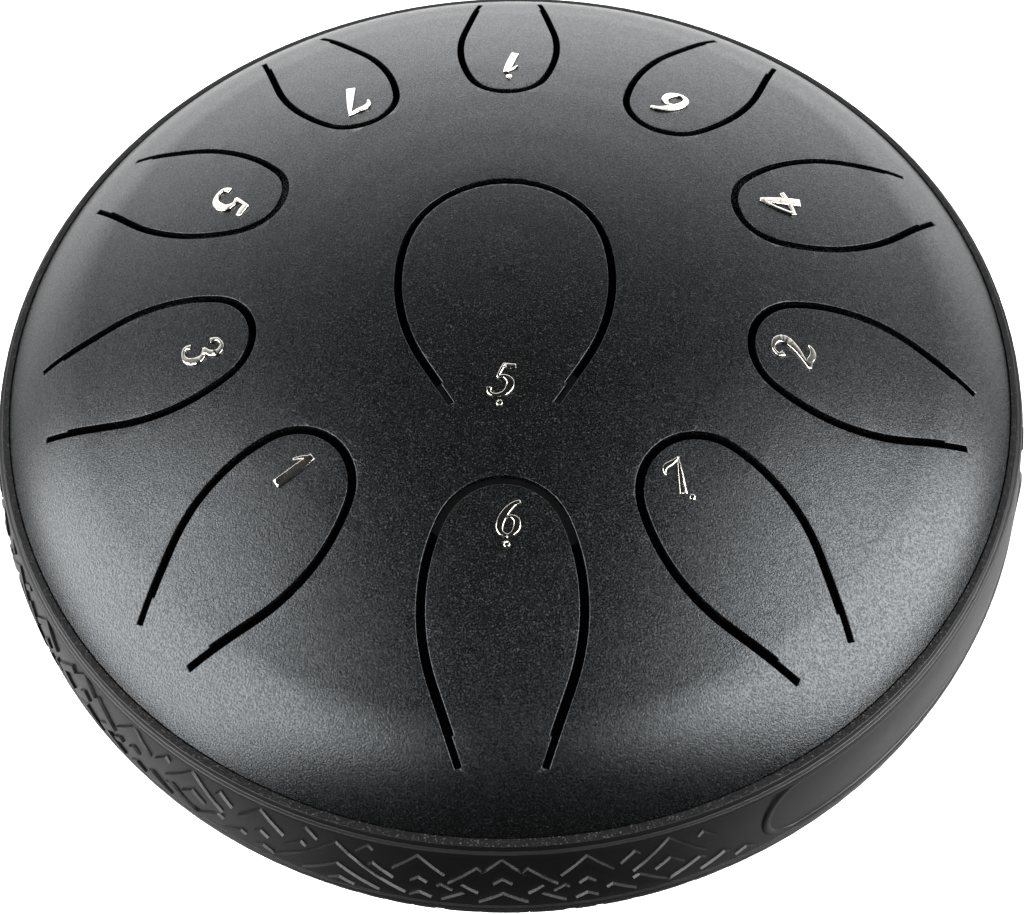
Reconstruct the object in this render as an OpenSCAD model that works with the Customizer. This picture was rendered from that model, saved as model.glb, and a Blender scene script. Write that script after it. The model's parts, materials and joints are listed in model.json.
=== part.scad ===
// Steel tongue drum: two pressed steel shells, eleven tongues cut in the upper one,
// a moulded rubber band over the seam, three rubber feet and polished note numbers.
// +Z is up, the floor is z = 0 and the longest outer tongue points to -Y.

/* [Shells] */
// Outer radius of each shell's upright wall, under the band
shell_r = 128; // [110:1:150]
// Distance from the wall's outside in to where the shell comes out of the band
ledge_in = 4.8; // [4:0.1:5.6]
// Height of the crown above the band's edge
crown_rise = 24; // [20:0.5:28]
// Radius of the round shoulder between crown and band
shoulder_r = 44; // [37:1:51]
// Angle of the shell's outward normal above level, where it meets the band
ledge_normal = 46; // [39:1:53]
// Steel thickness
steel_t = 1.6; // [1.3:0.1:2]
// Width of the flat flange that stands out from the wall at the seam
flange_w = 2; // [1.7:0.1:2.3]
// Thickness of the damping ring between the flanges
gasket_t = 0.8; // [0.4:0.1:1.2]

/* [Tongues] */
// Width of the cut that frees each tongue
slot_w = 1.9; // [1.5:0.1:2.3]
// Width of the last stretch of each cut, as a share of the full width
slot_end_share = 0.75; // [0.6:0.05:0.9]
// Length of that narrower last stretch
slot_end_l = 5.5; // [4:0.5:7]
// Distance from the band's edge in to the outer ends of the cuts
root_gap = 10.7; // [9:0.1:13]
// Half width of a middle-sized outer tongue, to the middle of its cut
tongue_half_w = 15.3; // [13:0.1:17]
// Radius of the long side curves of a middle-sized outer tongue
flank_r = 41; // [37:1:48]
// Half width of the centre tongue
centre_half_w = 25.2; // [21:0.2:28]
// Reach of the centre tongue's tip beyond the axis
centre_tip = 24.6; // [21:0.2:28]
// Distance from the axis to the centre tongue's widest place, on its root's side
centre_widest = 5.1; // [4:0.1:6]
// Distance from the axis to the centre tongue's root
centre_root = 39.8; // [38:0.2:46]
// Radius of the centre tongue's side curves
centre_flank_r = 45.1; // [41:0.1:52]

/* [Rim band] */
// Height of the rubber band
band_h = 51; // [43:1:59]
// Width of the band's flat upper and lower lips
lip_w = 1.8; // [1.5:0.1:2.1]
// Distance that the band's raised work stands out from the shells' wall
band_stand = 4; // [3.4:0.1:4.7]
// Height of the raised work on the band's side
relief_h = 0.6; // [0.5:0.05:0.7]
// Width of the raised lines that border the band's side
bead_w = 1.1; // [0.9:0.1:1.3]
// Distance from the band's lip to its upper border line
bead_inset = 1.1; // [0.9:0.1:1.3]
// Clearance between the band and the shells
band_gap = 0.2; // [0.1:0.05:0.3]

/* [Note numbers] */
// Height of a middle-sized digit
digit_h = 10; // [8.4:0.2:11.6]
// Width of the broadest pen stroke in it
stroke_w = 2; // [1.7:0.1:2.3]
// Radius of the octave dots
dot_r = 0.85; // [0.7:0.05:1]
// Thickness of the number plates
plate_t = 0.5; // [0.4:0.05:0.6]
// Adhesive film under the number plates
film_t = 0.05; // [0.03:0.01:0.1]

/* [Sound port and feet] */
// Radius of the sound port in the lower shell
port_r = 35; // [20:1:45]
// Distance from the wall's outside in to the middle of each foot
foot_inset = 50; // [42:1:58]
// Clearance between the lower shell and the floor
floor_gap = 8; // [6:0.5:12]
// Radius of a foot where it meets the shell
foot_top_r = 12; // [10:0.5:14]
// Radius of a foot at the floor
foot_base_r = 10; // [8.5:0.5:12]
// Radius of the screws in the feet
screw_r = 2; // [1.5:0.1:2.2]
// Clearance round a screw
screw_clear = 0.25; // [0.15:0.05:0.4]
// Radius of a screw head
head_r = 3.8; // [3.4:0.1:4]
// Height of a screw head
head_h = 2.6; // [2:0.1:3]
// Radius of a washer
washer_r = 4.4; // [4.2:0.1:5]
// Thickness of a washer
washer_t = 0.8; // [0.5:0.1:1.2]
// Width across a nut's flats
nut_af = 7; // [6:0.1:7.6]
// Thickness of a nut
nut_t = 3.2; // [2.4:0.1:4]
// Depth of rubber between a screw head's washer and the shell
foot_grip = 7; // [5:0.5:8]

/* [Hidden] */

$fn = 128;
// Overrun of every cut through a wall
over = 4;
// Angles between neighbouring points of the shell's section and of the cuts
crown_step = 2;
shoulder_step = 3;
skirt_step = 8;
flank_step = 4;
nose_step = 10;
// Clearance of pieces that are screwed up tight
seat_gap = 0.05;

// Half of the shell's cross-section, measured from the flange's mating face
ledge_r = shell_r - ledge_in;
ledge_h = (band_h - gasket_t) / 2;
skirt_r = (shell_r - ledge_r) / (1 - cos(ledge_normal));
skirt_h = ledge_h - skirt_r * sin(ledge_normal);
shoulder_x = ledge_r - shoulder_r * cos(ledge_normal);
shoulder_z = ledge_h - shoulder_r * sin(ledge_normal);
shoulder_top = ledge_h + crown_rise - shoulder_z;
crown_r = (pow(shoulder_x, 2) + pow(shoulder_top, 2) - pow(shoulder_r, 2))
    / (2 * (shoulder_top - shoulder_r));
crown_z = ledge_h + crown_rise - crown_r;
crown_normal = 90 - asin(shoulder_x / (crown_r - shoulder_r));
// The section is level for a few millimetres round the axis
flat_normal = 90 - crown_step / 4;
shell_h = ledge_h + crown_rise;

// Heights in the whole drum
seam_z = floor_gap + shell_h + gasket_t / 2;
top_face_z = seam_z + gasket_t / 2;
bottom_face_z = seam_z - gasket_t / 2;
bottom_centre_z = bottom_face_z - crown_z;

// The band's outer wall is one arc, under the raised work at its widest place
band_edge_r = ledge_r + lip_w;
wall_bulge = shell_r + band_stand - relief_h - band_edge_r;
wall_arc_r = (pow(band_h / 2, 2) + pow(wall_bulge, 2)) / (2 * wall_bulge);
wall_centre = band_edge_r + wall_bulge - wall_arc_r;

// Outer tongues: direction, then lengths in shares of root_r, tongue_half_w and flank_r,
// and the angle of each cut's straight tail to its tongue's middle line
root_r = ledge_r - root_gap;
tongue_angles = [270, 305, 341, 16, 52, 90, 125, 160, 196, 232];
tip_shares = [0.511, 0.532, 0.535, 0.533, 0.532, 0.543, 0.548, 0.54, 0.545, 0.536];
widest_shares = [0.737, 0.737, 0.75, 0.756, 0.756, 0.75, 0.76, 0.767, 0.759, 0.745];
width_shares = [1.078, 0.993, 1, 1.007, 0.993, 0.902, 0.941, 1, 0.987, 1];
flank_shares = [1.037, 0.993, 0.985, 1, 1.051, 0.998, 0.973, 1.024, 0.949, 0.973];
tail_angles = [21.2, 20.1, 21.1, 19.5, 13.6, 11.8, 12.4, 16.3, 14.4, 20.6];
centre_tail_angle = 33;

// Note numbers: octave is -1 for low, 1 for high. Then the place of the digit's middle along
// its tongue in shares of root_r, and its sideways place and its height in shares of digit_h
note_values = [6, 7, 2, 4, 6, 1, 7, 5, 3, 1];
octaves = [-1, -1, 0, 0, 0, 1, 0, 0, 0, 0];
place_shares = [0.587, 0.599, 0.623, 0.642, 0.643, 0.665, 0.65, 0.657, 0.653, 0.625];
side_shares = [0.15, -0.17, -0.155, 0.06, 0.075, -0.11, 0.08, 0.235, 0.265, -0.235];
height_shares = [0.8, 0.78, 1.02, 1.08, 1.12, 1.03, 1.2, 1.12, 1.03, 0.99];
centre_note = 5;
centre_place_share = 0.305;
centre_side_share = -0.025;
centre_height_share = 0.86;
dot_lean_share = 0.08;

// Feet
foot_angles = [270, 30, 150];
foot_tilt = asin((shell_r - foot_inset) / crown_r);

// Each digit is a list of pen strokes. A point has its place in shares of the digit's height,
// then the width of the stroke there in shares of stroke_w
stroke_parts = 3;
one_shares = [[[0.37, 0.97, 0.8], [0.29, 0.62, 1.05], [0.13, 0.03, 1.05]],
    [[0.36, 0.93, 0.4], [0.2, 0.82, 0.4], [0.05, 0.66, 0.25]]];
two_shares = [[[0.21, 0.68, 0.75], [0.13, 0.79, 0.45], [0.24, 0.94, 0.35], [0.47, 0.93, 0.75],
    [0.58, 0.74, 1], [0.45, 0.47, 0.75], [0.24, 0.24, 0.45], [0.06, 0.06, 0.35]],
    [[0.05, 0.05, 0.4], [0.22, 0.1, 0.75], [0.42, 0.06, 0.75], [0.57, 0.12, 0.45], [0.64, 0.21, 0.15]]];
three_shares = [[[0.1, 0.7, 0.7], [0.12, 0.86, 0.4], [0.3, 0.95, 0.4], [0.47, 0.84, 0.8],
    [0.42, 0.65, 0.7], [0.24, 0.53, 0.3]],
    [[0.24, 0.54, 0.3], [0.44, 0.49, 0.6], [0.52, 0.32, 0.95], [0.44, 0.13, 0.75], [0.26, 0.05, 0.4],
    [0.09, 0.11, 0.45], [0.1, 0.24, 0.7]]];
four_shares = [[[0.62, 0.95, 0.4], [0.33, 0.68, 0.4], [0.07, 0.36, 0.4]],
    [[0.03, 0.34, 0.5], [0.38, 0.31, 0.55], [0.74, 0.35, 0.6]],
    [[0.63, 0.96, 0.5], [0.52, 0.55, 1], [0.37, 0.03, 1.1]]];
five_shares = [[[0.43, 0.91, 0.7], [0.6, 0.88, 0.75], [0.78, 0.88, 0.6]],
    [[0.47, 0.93, 0.45], [0.38, 0.74, 0.4], [0.3, 0.55, 0.35]],
    [[0.3, 0.56, 0.35], [0.47, 0.59, 0.5], [0.62, 0.47, 0.95], [0.62, 0.29, 1.05], [0.49, 0.11, 0.75],
    [0.27, 0.05, 0.45], [0.1, 0.12, 0.5], [0.1, 0.28, 0.75]]];
six_shares = [[[0.68, 0.95, 0.45], [0.48, 0.86, 0.7], [0.26, 0.62, 1], [0.14, 0.34, 1],
    [0.18, 0.13, 0.7], [0.35, 0.05, 0.4]],
    [[0.26, 0.5, 0.3], [0.42, 0.56, 0.4], [0.58, 0.46, 0.85], [0.58, 0.26, 0.95], [0.46, 0.1, 0.6],
    [0.32, 0.05, 0.4]]];
seven_shares = [[[0.03, 0.7, 0.2], [0.08, 0.83, 0.5], [0.2, 0.91, 0.75], [0.42, 0.9, 0.65],
    [0.64, 0.93, 0.3]],
    [[0.63, 0.94, 0.25], [0.42, 0.56, 0.7], [0.22, 0.22, 0.95], [0.11, 0.03, 1.1]]];
digits = [one_shares, two_shares, three_shares, four_shares, five_shares, six_shares, seven_shares];

function polar(r, a) = r * [cos(a), sin(a)];

function reversed(p) = [for (i = [len(p) - 1:-1:0]) p[i]];
function arc(c, r, a, b, step, first = 0) =
    let (n = ceil(abs(b - a) / step)) [for (i = [first:n]) c + polar(r, a + (b - a) * i / n)];

// The pressing's section from the axis down to the wall, at depth t inside its outer face
function shell_line(t) = concat(
    [[0, crown_z + (crown_r - t) * sin(flat_normal)]],
    arc([0, crown_z], crown_r - t, flat_normal, crown_normal, crown_step),
    arc([shoulder_x, shoulder_z], shoulder_r - t, crown_normal, ledge_normal, shoulder_step, 1),
    arc([shell_r - skirt_r, skirt_h], skirt_r - t, ledge_normal, 0, skirt_step, 1));

module shell_section() {
    rim_r = shell_r + flange_w;
    flange = [[shell_r, steel_t], [rim_r, steel_t], [rim_r, 0], [shell_r - steel_t, 0]];
    polygon(concat(shell_line(0), flange, reversed(shell_line(steel_t))));
}

module pressed_shell() {
    rotate_extrude() shell_section();
}

// The layer over a shell's outside, from one height above it to another
module shell_skin(low, high) {
    rotate_extrude() polygon(concat(shell_line(-high), reversed(shell_line(-low))));
}

// One cut round a tongue that points along +X from its root, with its tip at x = tip.
// Its mid-line is a nose arc, two flank arcs tangent to it and two straight tails.
module tongue_slot(tip, widest, half_w, flank, root, tail_angle) {
    inset = flank - half_w;
    reach = widest - tip;
    nose = (pow(flank, 2) - pow(inset, 2) - pow(reach, 2)) / (2 * (flank - reach));
    nose_x = tip + nose;
    join = atan2(inset, nose_x - widest);
    leave = 90 - tail_angle;
    tail = (root - widest - flank * cos(leave)) / cos(tail_angle);
    tail_end = [widest, -inset] + polar(flank, leave) + tail * polar(1, -tail_angle);
    step_at = tail_end - slot_end_l * polar(1, -tail_angle);
    wide = slot_w / 2;
    narrow = slot_w * (slot_end_share - 0.5);
    function side(w, ends) = concat(ends, arc([widest, -inset], flank + w, leave, join, flank_step),
        arc([nose_x, 0], nose + w, join, 180, nose_step, 1));
    function whole(half) = concat(half, [for (i = [len(half) - 2:-1:0]) [half[i].x, -half[i].y]]);
    function beside(p, w) = p + polar(w, leave);
    outer = side(wide, [beside(tail_end, wide)]);
    inner = side(-wide, [beside(tail_end, -narrow), beside(step_at, -narrow), beside(step_at, -wide)]);
    polygon(concat(whole(outer), reversed(whole(inner))));
}

module outer_slot(i) {
    rotate(tongue_angles[i]) tongue_slot(tip_shares[i] * root_r, widest_shares[i] * root_r,
        width_shares[i] * tongue_half_w, flank_shares[i] * flank_r, root_r, tail_angles[i]);
}

module centre_slot() {
    rotate(tongue_angles[0]) tongue_slot(-centre_tip, centre_widest, centre_half_w, centre_flank_r,
        centre_root, centre_tail_angle);
}

module top_shell() {
    color("#2b2d2f") difference() {
        translate([0, 0, top_face_z]) pressed_shell();
        translate([0, 0, top_face_z + ledge_h]) linear_extrude(crown_rise + over) {
            for (i = [0:len(tongue_angles) - 1]) outer_slot(i);
            centre_slot();
        }
    }
}

// Children are placed with their origin on the lower shell's outer face and -Z outwards
module at_feet(angles) {
    for (a = angles) translate([0, 0, bottom_centre_z]) rotate([0, 0, a]) rotate([0, -foot_tilt, 0])
        translate([0, 0, -crown_r]) children();
}

module bottom_shell() {
    color("#2b2d2f") difference() {
        translate([0, 0, bottom_face_z]) mirror([0, 0, 1]) pressed_shell();
        translate([0, 0, floor_gap - over]) cylinder(r = port_r, h = crown_rise);
        at_feet(foot_angles) translate([0, 0, -over])
            cylinder(r = screw_r + screw_clear, h = steel_t + 2 * over);
    }
}

module seam_gasket() {
    color("#3a3a38") translate([0, 0, bottom_face_z]) rotate_extrude()
        translate([shell_r - steel_t, 0]) square([steel_t + flange_w, gasket_t]);
}

// Upper half of the band's cross-section, measured from the seam
module band_half() {
    lift = gasket_t / 2;
    difference() {
        intersection() {
            union() {
                translate([wall_centre, 0]) circle(r = wall_arc_r);
                intersection() {
                    translate([wall_centre, 0]) circle(r = wall_arc_r + relief_h);
                    for (z = [bead_w, band_h / 2 - bead_inset - bead_w])
                        translate([wall_centre, z]) square([2 * wall_arc_r, bead_w]);
                }
            }
            translate([shell_r - skirt_r, 0]) square([skirt_r + band_stand + over, band_h / 2]);
        }
        translate([shell_r - skirt_r, skirt_h + lift]) circle(r = skirt_r + band_gap);
        translate([0, -over]) square([shell_r + band_gap, skirt_h + lift + over]);
        translate([0, -over]) square([shell_r + flange_w + band_gap, steel_t + lift + band_gap + over]);
    }
}

module rim_band() {
    color("#1c1d1e") translate([0, 0, seam_z]) rotate_extrude() {
        band_half();
        mirror([0, 1]) band_half();
    }
}

// Foot: a tapered rubber bumper square to the shell, cut flat at the floor
module foot(i) {
    foot_l = (floor_gap + crown_r * (1 - cos(foot_tilt))) / cos(foot_tilt);
    reach = foot_l + over;
    color("#202122") intersection() {
        at_feet([foot_angles[i]]) difference() {
            translate([0, 0, -reach]) cylinder(r1 = foot_base_r, r2 = foot_top_r, h = reach - seat_gap);
            translate([0, 0, -reach - over]) cylinder(r = screw_r + screw_clear, h = reach + 2 * over);
            translate([0, 0, -reach - over])
                cylinder(r = washer_r + screw_clear, h = reach + over - foot_grip);
        }
        translate([-shell_r, -shell_r, 0]) cube([2 * shell_r, 2 * shell_r, shell_h]);
    }
}

module foot_screws() {
    color("silver") at_feet(foot_angles) {
        head_z = -foot_grip - washer_t - seat_gap;
        translate([0, 0, head_z - head_h]) cylinder(r = head_r, h = head_h);
        translate([0, 0, head_z])
            cylinder(r = screw_r, h = steel_t + nut_t + washer_t + screw_r / 2 - head_z);
    }
}

module washer() {
    difference() {
        cylinder(r = washer_r, h = washer_t);
        translate([0, 0, -over]) cylinder(r = screw_r + screw_clear, h = washer_t + 2 * over);
    }
}

module foot_washers() {
    color("silver") at_feet(foot_angles) {
        translate([0, 0, -foot_grip - washer_t]) washer();
        translate([0, 0, steel_t + seat_gap]) washer();
    }
}

module foot_nuts() {
    color("silver") at_feet(foot_angles) translate([0, 0, steel_t + washer_t + 2 * seat_gap]) difference() {
        cylinder(r = nut_af / 2 / cos(30), h = nut_t, $fn = 6);
        translate([0, 0, -over]) cylinder(r = screw_r + seat_gap, h = nut_t + 2 * over);
    }
}

// A smooth curve through the points p
function eased(p) = concat([for (i = [0:len(p) - 2], k = [0:stroke_parts - 1])
    let (a = p[max(i - 1, 0)], b = p[i], c = p[i + 1], d = p[min(i + 2, len(p) - 1)], t = k / stroke_parts)
    b + (c - a) * t / 2 + (2 * a - 5 * b + 4 * c - d) * pow(t, 2) / 2
        + (3 * b - a - 3 * c + d) * pow(t, 3) / 2], [p[len(p) - 1]]);

module stroke(shares) {
    line = eased(shares);
    n = len(line) - 1;
    at = [for (p = line) digit_h * [p.x, p.y]];
    off = [for (i = [0:n]) let (t = at[min(i + 1, n)] - at[max(i - 1, 0)])
        [-t.y, t.x] / norm(t) * stroke_w * line[i].z / 2];
    polygon(concat(at + off, reversed(at - off)));
}

// A digit about its own middle: the low octave's dot is under it, the high one's above
module digit_outline(value, octave) {
    strokes = digits[value - 1];
    xs = [for (s = strokes, p = s) p.x];
    translate(-digit_h * [(min(xs) + max(xs)) / 2, 0.5]) for (s = strokes) stroke(s);
    if (octave != 0)
        translate(octave * [dot_lean_share * digit_h, digit_h / 2 + 2 * dot_r]) circle(r = dot_r);
}

// A plate on the crown, its top towards the axis and its digit's middle mid_r from it
module number_plate(angle, mid_r, side_share, size, value, octave) {
    color("#c9c6bc") intersection() {
        translate([0, 0, top_face_z + ledge_h]) linear_extrude(crown_rise + over)
            rotate(angle + 90) translate([side_share * digit_h, -mid_r]) scale(size)
                digit_outline(value, octave);
        translate([0, 0, top_face_z]) shell_skin(film_t, film_t + plate_t);
    }
}

module outer_number(i) {
    number_plate(tongue_angles[i], place_shares[i] * root_r, side_shares[i], height_shares[i],
        note_values[i], octaves[i]);
}

module centre_number() {
    number_plate(tongue_angles[0], centre_place_share * root_r, centre_side_share,
        centre_height_share, centre_note, -1);
}

top_shell();
bottom_shell();
seam_gasket();
rim_band();
foot(0);  // foot_front
foot(1);  // foot_right
foot(2);  // foot_left
foot_screws();
foot_washers();
foot_nuts();
centre_number();  // number_centre_low_5
outer_number(0);  // number_front_low_6
outer_number(1);  // number_right_front_low_7
outer_number(9);  // number_left_front_1
outer_number(2);  // number_right_2
outer_number(8);  // number_left_3
outer_number(3);  // number_right_back_4
outer_number(7);  // number_left_back_5
outer_number(4);  // number_back_right_6
outer_number(6);  // number_back_left_7
outer_number(5);  // number_back_high_1
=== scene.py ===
import json
import math

import bmesh
import bpy
from mathutils import Matrix, Vector


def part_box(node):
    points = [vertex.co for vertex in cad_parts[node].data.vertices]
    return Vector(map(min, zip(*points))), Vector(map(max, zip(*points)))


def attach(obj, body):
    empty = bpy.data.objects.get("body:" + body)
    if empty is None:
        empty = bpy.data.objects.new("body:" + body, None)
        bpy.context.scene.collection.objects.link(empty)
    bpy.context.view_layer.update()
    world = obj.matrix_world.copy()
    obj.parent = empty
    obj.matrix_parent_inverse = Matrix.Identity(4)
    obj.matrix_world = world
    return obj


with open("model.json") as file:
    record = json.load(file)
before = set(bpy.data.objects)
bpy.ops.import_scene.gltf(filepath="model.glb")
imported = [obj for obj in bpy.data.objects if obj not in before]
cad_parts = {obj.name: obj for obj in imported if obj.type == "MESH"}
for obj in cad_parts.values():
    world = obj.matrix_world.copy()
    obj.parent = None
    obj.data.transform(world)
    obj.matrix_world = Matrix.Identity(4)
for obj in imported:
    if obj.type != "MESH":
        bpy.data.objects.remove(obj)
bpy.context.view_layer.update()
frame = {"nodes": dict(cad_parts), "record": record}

nodes = frame["nodes"]
mm = 0.001
scene = bpy.context.scene


# One output of a shader node. Arithmetic on it adds Math nodes
class Wire:
    def __init__(self, shader, socket):
        self.shader = shader
        self.socket = socket

    def math(self, operation, one, other=0.0):
        return self.shader.make("Math", {"operation": operation}, Value=one, Value_001=other)["Value"]

    def __add__(self, other):
        return self.math("ADD", self, other)

    def __radd__(self, other):
        return self.math("ADD", other, self)

    def __sub__(self, other):
        return self.math("SUBTRACT", self, other)

    def __rsub__(self, other):
        return self.math("SUBTRACT", other, self)

    def __mul__(self, other):
        return self.math("MULTIPLY", self, other)

    def __rmul__(self, other):
        return self.math("MULTIPLY", other, self)

    def __abs__(self):
        return self.math("ABSOLUTE", self)

    def step(self, low, high):
        smooth = {"interpolation_type": "SMOOTHSTEP"}
        return self.shader.make("MapRange", smooth, Value=self, From_Min=low, From_Max=high)["Result"]


class Shader:
    def __init__(self, owner):
        owner.use_nodes = True
        self.owner = owner
        self.tree = owner.node_tree
        self.tree.nodes.clear()
        self.coords = self.make("TexCoord")
        self.place = self.coords["Object"]

    # Settings come before values, because some of them change a node's sockets
    def make(self, kind, settings=None, **values):
        node = self.tree.nodes.new("ShaderNode" + kind)
        for setting, value in (settings or {}).items():
            setattr(node, setting, value)
        sockets = {socket.identifier.replace(" ", "_"): socket for socket in node.inputs}
        for name, value in values.items():
            if isinstance(value, Wire):
                self.tree.links.new(value.socket, sockets[name])
            else:
                sockets[name].default_value = value
        return {socket.name: Wire(self, socket) for socket in node.outputs if socket.enabled}

    def noise(self, size, detail=2.0, roughness=0.5, place=None):
        return self.make("TexNoise", Vector=place or self.place, Scale=1 / size, Detail=detail,
                         Roughness=roughness)["Fac"]

    def shifted(self, *away):
        return self.make("VectorMath", {"operation": "ADD"}, Vector=self.place, Vector_001=away)["Vector"]

    def along(self, axis):
        return self.make("SeparateXYZ", Vector=self.place)[axis]

    def mix(self, factor, low, high):
        colours = {"data_type": "RGBA"}
        return self.make("Mix", colours, Factor_Float=factor, A_Color=low, B_Color=high)["Result"]

    def bump(self, height, distance):
        return self.make("Bump", Height=height, Distance=distance, Strength=1.0)["Normal"]

    def skin(self, **values):
        return self.make("BsdfPrincipled", **values)["BSDF"]

    def blend(self, factor, one, other):
        return self.make("MixShader", Fac=factor, Shader=one, Shader_001=other)["Shader"]

    def finish(self, surface):
        self.make("OutputMaterial", Surface=surface)
        return self.owner


def material(name):
    return Shader(bpy.data.materials.new(name))


def grey(level, tint=(1.0, 1.0, 1.0)):
    return tuple(level * part for part in tint) + (1.0,)


# Black powder coat: fine sand grain, with bright specks of painted glint in its colour that are fewer on the
# steep sides.
# Two skins of unlike shine are blended by pits with painted light and shade, as if lit from one side.
coat = {"base": 0.0007, "tint": (0.9, 0.955, 1.0), "rough": 0.28, "shine": (0.68, 0.28),
        "grain": 0.34 * mm, "depth": 0.05 * mm, "grainRough": 0.3, "cloud": 6 * mm, "cloudRough": 0.05,
        "pit": 0.44 * mm, "lean": 0.13 * mm, "contrast": 3.6,
        "glintSpeck": 0.03, "glintSize": 0.34 * mm, "glintStep": (0.58, 0.78),
        "steep": (17 * mm, 8 * mm), "onSteep": 0.25}


def shellCoat():
    shader = material("shellCoat")
    grain = shader.noise(coat["grain"], detail=1.5, roughness=0.6)
    cloud = shader.noise(coat["cloud"])
    # Painted light and shade of pits: noise less itself shifted toward the light, a painted emboss
    lit = shader.noise(coat["pit"], place=shader.shifted(coat["lean"], 0, coat["lean"]))
    paintedPitLight = 0.5 + (lit - shader.noise(coat["pit"])) * coat["contrast"]
    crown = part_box("top_shell")[1].z
    steep, gentle = coat["steep"]
    flat = shader.along("Z").step(crown - steep, crown - gentle)
    # Painted glints: bright specks in the base colour stand in for the grain's glints, fewer on the steep
    # sides
    paintedGlints = shader.noise(coat["glintSize"], detail=1.0).step(*coat["glintStep"])
    paintedGlints = paintedGlints * (coat["onSteep"] + (1 - coat["onSteep"]) * flat)
    both = {"Base_Color": shader.mix(paintedGlints, grey(coat["base"], coat["tint"]), grey(coat["glintSpeck"])),
            "Roughness": (coat["rough"] + (grain - 0.5) * coat["grainRough"]
                          + (cloud - 0.5) * coat["cloudRough"]),
            "Specular_Tint": grey(1.0, coat["tint"]),
            "Normal": shader.bump(grain, coat["depth"])}
    smooth, dull = (shader.skin(Specular_IOR_Level=shine, **both) for shine in coat["shine"])
    return shader.finish(shader.blend(paintedPitLight, smooth, dull))


# Moulded rubber of the band: glossier on its side, dull and dusty on its flat lips
rubber = {"base": 0.0014, "tint": (1.0, 1.02, 1.0), "rough": 0.34, "shine": (0.5, 0.15),
          "fine": 0.45 * mm, "depth": 0.02 * mm, "fineRough": 0.12, "cloud": 18 * mm, "cloudRough": 0.08,
          "lip": (0.01 * mm, 0.03 * mm), "lipRough": 0.1,
          "dust": 0.045, "dustSize": 0.32 * mm, "dustStep": (0.58, 0.74), "dustEven": 0.04}


def bandRubber():
    shader = material("bandRubber")
    bottom, top = (corner.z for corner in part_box("rim_band"))
    near, far = rubber["lip"]
    level = shader.along("Z")
    lip = level.step(top - far, top - near) + 1 - level.step(bottom + near, bottom + far)
    fine = shader.noise(rubber["fine"], roughness=0.6)
    cloud = shader.noise(rubber["cloud"])
    dust = shader.noise(rubber["dustSize"], detail=1.0).step(*rubber["dustStep"]) * lip
    both = {"Base_Color": shader.mix(dust + lip * rubber["dustEven"], grey(rubber["base"], rubber["tint"]),
                                     grey(rubber["dust"])),
            "Roughness": (rubber["rough"] + (fine - 0.5) * rubber["fineRough"]
                          + (cloud - 0.5) * rubber["cloudRough"] + lip * rubber["lipRough"]),
            "Normal": shader.bump(fine, rubber["depth"])}
    side, flat = (shader.skin(Specular_IOR_Level=shine, **both) for shine in rubber["shine"])
    return shader.finish(shader.blend(lip, side, flat))


# Matt rubber, a little paler in worn patches
matt = {"fine": 0.5 * mm, "depth": 0.03 * mm, "patch": 7 * mm, "patchStep": (0.35, 0.75), "paler": 1.7,
        "patchRough": 0.15}


def plainRubber(name, base, rough):
    shader = material(name)
    patch = shader.noise(matt["patch"], detail=3.0)
    colour = shader.mix(patch.step(*matt["patchStep"]), grey(base), grey(base * matt["paler"]))
    return shader.finish(shader.skin(Base_Color=colour, Roughness=rough + (patch - 0.5) * matt["patchRough"],
                                     Normal=shader.bump(shader.noise(matt["fine"]), matt["depth"])))


# Bright metal: its tone and polish vary over a size, and it has ripples a few times finer
bright = {"toneRough": 0.12, "finer": 6}


def metal(name, low, high, rough, size, depth):
    shader = material(name)
    tone = shader.noise(size)
    ripples = shader.noise(size / bright["finer"])
    return shader.finish(shader.skin(Base_Color=shader.mix(tone, low + (1.0,), high + (1.0,)), Metallic=1.0,
                                     Roughness=rough + (tone - 0.5) * bright["toneRough"],
                                     Normal=shader.bump(ripples, depth)))


bandMaterial = bandRubber()
looks = {
    "shell_coat": shellCoat(),
    "band_rubber": bandMaterial,
    "foot_rubber": plainRubber("footRubber", base=0.018, rough=0.62),
    "gasket_rubber": plainRubber("gasketRubber", base=0.045, rough=0.7),
    "plated_steel": metal("platedSteel", low=(0.52, 0.53, 0.55), high=(0.66, 0.65, 0.6), rough=0.32,
                          size=4 * mm, depth=0.004 * mm),
    "number_plate": metal("numberNickel", low=(0.7, 0.67, 0.61), high=(0.8, 0.78, 0.72), rough=0.1,
                          size=2.5 * mm, depth=0.002 * mm),
}


# The faces of a CAD node are joined up, its edges rounded and its shading made smooth.
# Each slot has the width of its rounding, in millimetres, and the number of its segments.
edges = {"shell_coat": (0.17, 2), "band_rubber": (0.1, 2), "foot_rubber": (0.6, 3), "plated_steel": (0.15, 2),
         "number_plate": (0.17, 3)}
joining = {"merge": 0.001 * mm, "sharp": 50}


def soften(piece, width, segments):
    weld = piece.modifiers.new("weld", "WELD")
    weld.merge_threshold = joining["merge"]
    bevel = piece.modifiers.new("bevel", "BEVEL")
    bevel.width = width * mm
    bevel.segments = segments
    bevel.limit_method = "ANGLE"
    bevel.angle_limit = math.radians(joining["sharp"])
    bevel.use_clamp_overlap = False
    piece.modifiers.new("shade", "WEIGHTED_NORMAL")


slots = {part["node"]: part["material_slot"] for part in frame["record"]["subparts"]}
for name, piece in nodes.items():
    piece.data.materials.clear()
    piece.data.materials.append(looks[slots[name]])
    if slots[name] in edges:
        soften(piece, *edges[slots[name]])
print("materials done")


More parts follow.
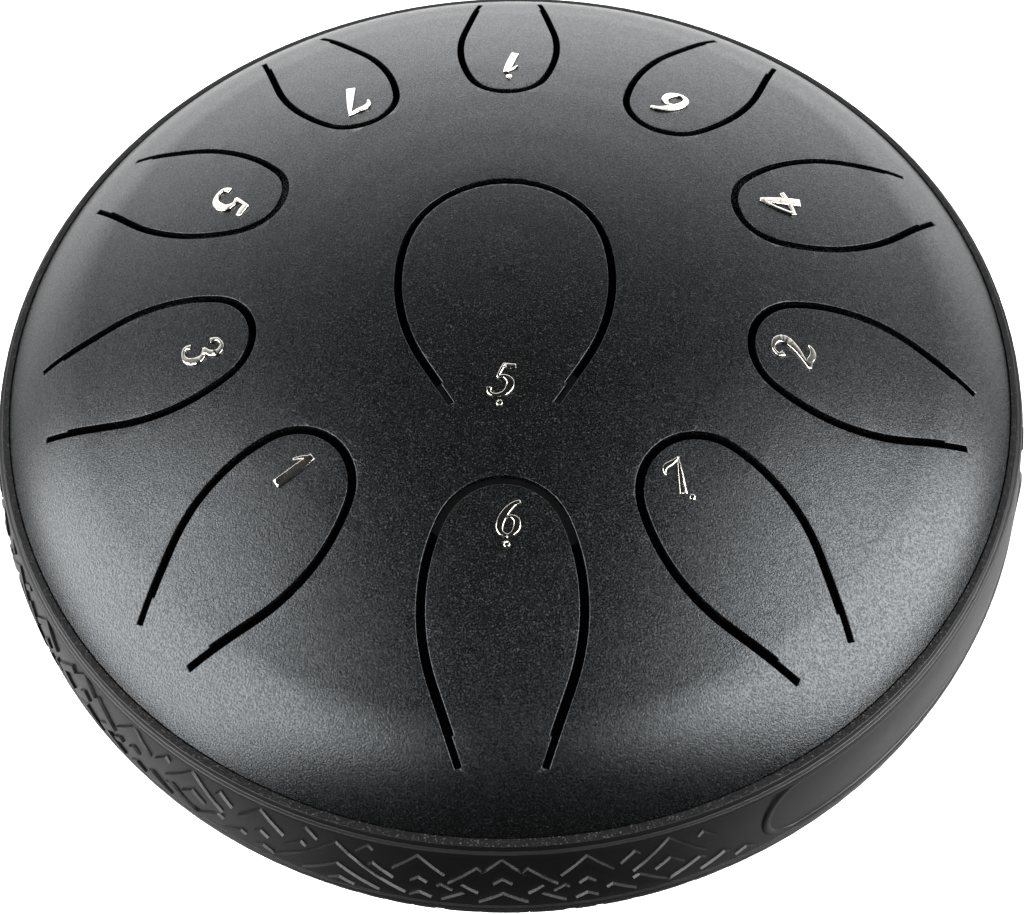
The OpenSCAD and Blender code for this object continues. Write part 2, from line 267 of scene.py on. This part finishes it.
# Relief on the band. A motif is drawn flat, in millimetres: x along the band and y up from the
# seam. It is then raised with steep sides and wrapped on the band, and once more below the seam.
relief = {"height": 0.46, "slope": 0.2, "sunk": 0.2, "step": 3.0, "pitch": 33.9, "clear": 4.0,
          "frameEnds": (293.4, 341.6), "edgeRadius": 125.0, "borderLine": 0.6, "sharp": 32, "merge": 1e-4}
bandLow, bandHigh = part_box("rim_band")
seamZ = (bandLow.z + bandHigh.z) / 2 / mm
halfHeight = (bandHigh.z - bandLow.z) / 2 / mm
topRadius = bandHigh.x / mm
bulge = topRadius - relief["borderLine"] - relief["edgeRadius"]
wallRadius = (halfHeight ** 2 + bulge ** 2) / (2 * bulge)
wallCentre = relief["edgeRadius"] + bulge - wallRadius


def onBand(x, y, lift):
    tilt = math.asin(y / wallRadius)
    turn = x / topRadius
    out = wallCentre + (wallRadius + lift) * math.cos(tilt)
    up = seamZ + (wallRadius + lift) * math.sin(tilt)
    return Vector((out * math.cos(turn), out * math.sin(turn), up)) * mm


def alongBand(degrees):
    return math.radians(degrees) * topRadius


# A strap of one width along a line, with mitred corners
def strap(width, *points):
    left, right = [], []
    for i, (x, y) in enumerate(points):
        before = points[max(i - 1, 0)]
        after = points[min(i + 1, len(points) - 1)]
        ways = [Vector(b) - Vector(a) for a, b in ((before, (x, y)), ((x, y), after)) if a != b]
        sides = [Vector((-way.y, way.x)).normalized() for way in ways]
        mitre = (sides[0] + sides[-1]).normalized()
        out = mitre * width / 2 / mitre.dot(sides[0])
        left.append((x + out.x, y + out.y))
        right.append((x - out.x, y - out.y))
    return left + right[::-1]


def diamond(x, y, half):
    return [(x, y + half), (x - half, y), (x, y - half), (x + half, y)]


# Each outline left of the middle line is drawn again on its right
def mirrored(outlines, middle):
    return outlines + [[(2 * middle - x, y) for x, y in outline][::-1] for outline in outlines]


# Three motifs within one pitch: nested chevrons, a split diamond and two bolts. A parting stands
# between two motifs.
middle = relief["pitch"] / 2
parting = [strap(1.8, (-4.9, 16.2), (0.0, 21.1), (4.9, 16.2)),
           diamond(0.0, 13.4, 1.9), diamond(0.0, 6.2, 2.5)]
motifs = [
    [strap(2.3, (3.6, 6.1), (middle, 19.4), (2 * middle - 3.6, 6.1)),
     strap(1.7, (9.0, 4.6), (middle, 12.7), (2 * middle - 9.0, 4.6)),
     [(middle - 3.2, 4.0), (middle + 3.2, 4.0), (middle, 7.2)]]
    + mirrored([strap(1.8, (5.6, 12.6), (9.9, 16.9)), strap(1.8, (9.6, 21.9), (12.4, 19.1))], middle),
    [strap(2.1, (9.8, 13.7), (middle, 21.0), (2 * middle - 9.8, 13.7)),
     strap(2.1, (9.8, 12.3), (middle, 5.0), (2 * middle - 9.8, 12.3)), diamond(middle, 13.0, 3.3)]
    + mirrored([strap(1.9, (7.2, 17.4), (10.4, 20.6)), strap(1.9, (4.4, 10.4), (9.6, 5.2))], middle),
    [strap(1.8, (12.4, 4.9), (middle, 9.6), (2 * middle - 12.4, 4.9)), diamond(middle, 14.6, 2.1),
     strap(1.6, (middle - 4.4, 17.2), (middle, 21.6), (middle + 4.4, 17.2))]
    + mirrored([strap(2.1, (4.8, 4.8), (10.6, 10.6), (7.2, 14.0), (12.6, 19.4)),
                strap(1.7, (4.0, 13.0), (6.4, 10.6))], middle),
]
order = (0, 2, 1)


# Below the seam the relief is upside down, so its faces are turned round
def addPoint(sheet, x, y, lift, below):
    return sheet.verts.new(onBand(x, -y if below else y, lift))


def addFace(sheet, corners, below):
    sheet.faces.new(corners[::-1] if below else corners)


def raisedFace(sheet, outline, offset, below):
    flat = bmesh.new()
    flat.faces.new([flat.verts.new((x, y, 0)) for x, y in outline])
    bmesh.ops.triangulate(flat, faces=flat.faces[:], ngon_method="EAR_CLIP")
    bmesh.ops.recalc_face_normals(flat, faces=flat.faces)
    if sum(face.normal.z for face in flat.faces) < 0:
        bmesh.ops.reverse_faces(flat, faces=flat.faces)
    for axis in ((1, 0, 0), (0, 1, 0)):
        marks = [Vector(axis).dot(Vector(point).to_3d()) for point in outline]
        low, high = min(marks), max(marks)
        count = max(1, math.ceil((high - low) / relief["step"]))
        for k in range(1, count):
            at = low + (high - low) * k / count
            bmesh.ops.bisect_plane(flat, geom=flat.verts[:] + flat.edges[:] + flat.faces[:],
                                   dist=relief["merge"], plane_co=[a * at for a in axis], plane_no=axis)
    for vert in flat.verts:
        vert.co.z = -relief["sunk"]
    inside = flat.faces[:]
    bmesh.ops.inset_region(flat, faces=inside, thickness=relief["slope"], use_even_offset=True,
                           use_boundary=True)
    for vert in {v for face in inside for v in face.verts}:
        vert.co.z = relief["height"]
    made = {vert: addPoint(sheet, vert.co.x + offset, vert.co.y, vert.co.z, below) for vert in flat.verts}
    for face in flat.faces:
        addFace(sheet, [made[v] for v in face.verts], below)
    flat.free()


# The long frame round the plain field: a closed cord with round ends
cord = {"low": 3.9, "high": 24.1, "width": 2.3, "height": 0.5, "across": 8, "bend": 24, "step": 3.0,
        "swell": 0.8}


def frameLine(inset):
    start, end = (alongBand(degrees) for degrees in relief["frameEnds"])
    radius = (cord["high"] - cord["low"]) / 2
    level = (cord["high"] + cord["low"]) / 2
    straight = end - start - 2 * radius
    count = round(straight / cord["step"])
    reach = radius - inset
    line = []
    for centre, way in ((start + radius, 1), (end - radius, -1)):
        for k in range(cord["bend"] + 1):
            angle = math.pi / 2 * way + math.pi * k / cord["bend"]
            line.append((centre + reach * math.cos(angle), level + reach * math.sin(angle)))
        line += [(centre + way * straight * k / count, level - way * reach) for k in range(1, count)]
    return line


def frameCord(sheet, below):
    rows = []
    for k in range(cord["across"] + 1):
        share = k / cord["across"]
        lift = -relief["sunk"]
        if 0 < share < 1:
            lift = cord["height"] * math.sin(math.pi * share) ** cord["swell"]
        rows.append([addPoint(sheet, x, y, lift, below) for x, y in frameLine(cord["width"] * share)])
    for outer, inner in zip(rows, rows[1:]):
        for i in range(len(outer)):
            j = (i + 1) % len(outer)
            addFace(sheet, [outer[i], outer[j], inner[j], inner[i]], below)


def reliefPiece():
    sheet = bmesh.new()
    start = alongBand(relief["frameEnds"][1] - 360)
    length = alongBand(relief["frameEnds"][0]) - start
    count = int((length - relief["clear"]) // relief["pitch"])
    first = start + (length - count * relief["pitch"]) / 2
    for below in (False, True):
        for k in range(count + 1):
            outlines = motifs[order[k % len(order)]] if k < count else []
            for outline in outlines + (parting if 0 < k < count else parting[-1:]):
                raisedFace(sheet, outline, first + k * relief["pitch"], below)
        frameCord(sheet, below)
    mesh = bpy.data.meshes.new("band_relief")
    sheet.to_mesh(mesh)
    sheet.free()
    piece = bpy.data.objects.new("band_relief", mesh)
    scene.collection.objects.link(piece)
    mesh.shade_smooth()
    mesh.set_sharp_from_angle(angle=math.radians(relief["sharp"]))
    mesh.materials.append(bandMaterial)
    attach(piece, "root")


reliefPiece()
print("relief done")


# White floor with a painted shadow right beneath the drum. What the drum mirrors of it is dark in front,
# lighter at the sides up to a radius, and light behind. Sizes are in metres.
ground = {"half": 4.0, "white": 0.8, "glow": 0.75, "under": 0.04, "clear": (0.05, 0.09),
          "front": 0.012, "side": 0.42, "beside": (0.03, 0.22), "fade": (0.19, 0.3), "fadeBy": 0.8,
          "back": 0.66, "behind": (0.11, 0.27)}


def floorPiece():
    shader = material("floorWhite")
    radius = shader.make("VectorMath", {"operation": "LENGTH"}, Vector=shader.place)["Value"]
    # Painted shadow: the floor's colour and glow fade to dark right beneath the drum
    clear = radius.step(*ground["clear"])
    plain = shader.make("BsdfDiffuse", Color=shader.mix(clear, grey(ground["under"]), grey(ground["white"])))
    glow = shader.make("Emission", Color=shader.mix(clear, grey(0.0), grey(ground["glow"])))
    seen = shader.make("AddShader", Shader=plain["BSDF"], Shader_001=glow["Emission"])["Shader"]
    fade = 1 - radius.step(*ground["fade"]) * ground["fadeBy"]
    beside = abs(shader.along("X")).step(*ground["beside"]) * fade * ground["side"]
    behind = shader.along("Y").step(*ground["behind"])
    front = shader.mix(beside, grey(ground["front"]), grey(1.0))
    unseen = shader.make("BsdfDiffuse", Color=shader.mix(behind, front, grey(ground["back"])))["BSDF"]
    camera = shader.make("LightPath")["Is Camera Ray"]
    shader.finish(shader.blend(camera, unseen, seen))
    sheet = bmesh.new()
    bmesh.ops.create_grid(sheet, x_segments=1, y_segments=1, size=ground["half"])
    mesh = bpy.data.meshes.new("floor")
    sheet.to_mesh(mesh)
    sheet.free()
    mesh.materials.append(shader.owner)
    floor = bpy.data.objects.new("floor", mesh)
    scene.collection.objects.link(floor)


# White low behind the drum, dark overhead and in front, and plain white to the camera
sky = {"dark": 0.02, "horizon": 4.0, "up": (0.1, 0.91), "back": (0.0, 1.0)}


def surroundings():
    shader = Shader(bpy.data.worlds.new("surroundings"))
    ray = shader.make("SeparateXYZ", Vector=shader.coords["Generated"])
    low = 1 - ray["Z"].step(*sky["up"])
    glow = sky["dark"] + low * ray["Y"].step(*sky["back"]) * sky["horizon"]
    lit = shader.make("Background", Color=glow)["Background"]
    white = shader.make("Background", Color=grey(1.0))["Background"]
    camera = shader.make("LightPath")["Is Camera Ray"]
    shader.make("OutputWorld", Surface=shader.blend(camera, lit, white))
    scene.world = shader.owner


# Two tall soft boxes, at a turn round the drum and a tilt above level, in degrees and metres
boxes = {
    "boxRight": {"turn": -16.5, "tilt": 36.5, "width": 1.75, "height": 2.0, "power": 108},
    "boxLeft": {"turn": 198, "tilt": 33.5, "width": 1.95, "height": 2.1, "power": 113},
}
boxReach = 1.9
boxCentre = Vector((0, 0, 0.08))


def softBox(name, box):
    turn, tilt = math.radians(box["turn"]), math.radians(box["tilt"])
    towards = Vector((math.cos(turn) * math.cos(tilt), math.sin(turn) * math.cos(tilt), math.sin(tilt)))
    data = bpy.data.lights.new(name, "AREA")
    data.shape = "RECTANGLE"
    data.size, data.size_y = box["width"], box["height"]
    data.energy = box["power"]
    light = bpy.data.objects.new(name, data)
    light.location = towards * boxReach + boxCentre
    light.rotation_mode = "QUATERNION"
    light.rotation_quaternion = towards.to_track_quat("Z", "Y")
    scene.collection.objects.link(light)


floorPiece()
surroundings()
for name, box in boxes.items():
    softBox(name, box)
scene.view_settings.view_transform = "Standard"
print("surroundings done")

# Camera fitted to the photo: angles in radians, focal length and centre in pixels, and its place
# in millimetres from the axis at the band's top edge
shot = {"picture": (1024, 914), "yaw": 0.02788, "pitch": 0.94056, "roll": -0.02921, "focal": 1133.77,
        "centre": (514.715, 314.556), "place": (6.58, -169.99, 233.1), "sensor": 36, "clip": (0.01, 50)}


def setCamera():
    level = Matrix(((1, 0, 0), (0, 0, -1), (0, 1, 0)))
    right, down, ahead = (Matrix.Rotation(shot["roll"], 3, "Z") @ Matrix.Rotation(shot["pitch"], 3, "X")
                          @ level @ Matrix.Rotation(-shot["yaw"], 3, "Z"))
    pose = Matrix((right, -down, -ahead)).transposed().to_4x4()
    pose.translation = Vector(shot["place"]) * mm + Vector((0, 0, bandHigh.z))
    data = bpy.data.cameras.new("photoCamera")
    wide, tall = shot["picture"]
    data.sensor_width = shot["sensor"]
    data.lens = shot["focal"] * shot["sensor"] / wide
    data.shift_x = (wide / 2 - shot["centre"][0]) / wide
    data.shift_y = (shot["centre"][1] - tall / 2) / wide
    data.clip_start, data.clip_end = shot["clip"]
    camera = bpy.data.objects.new("photoCamera", data)
    camera.matrix_world = pose
    scene.collection.objects.link(camera)
    scene.camera = camera


setCamera()
print("camera done")
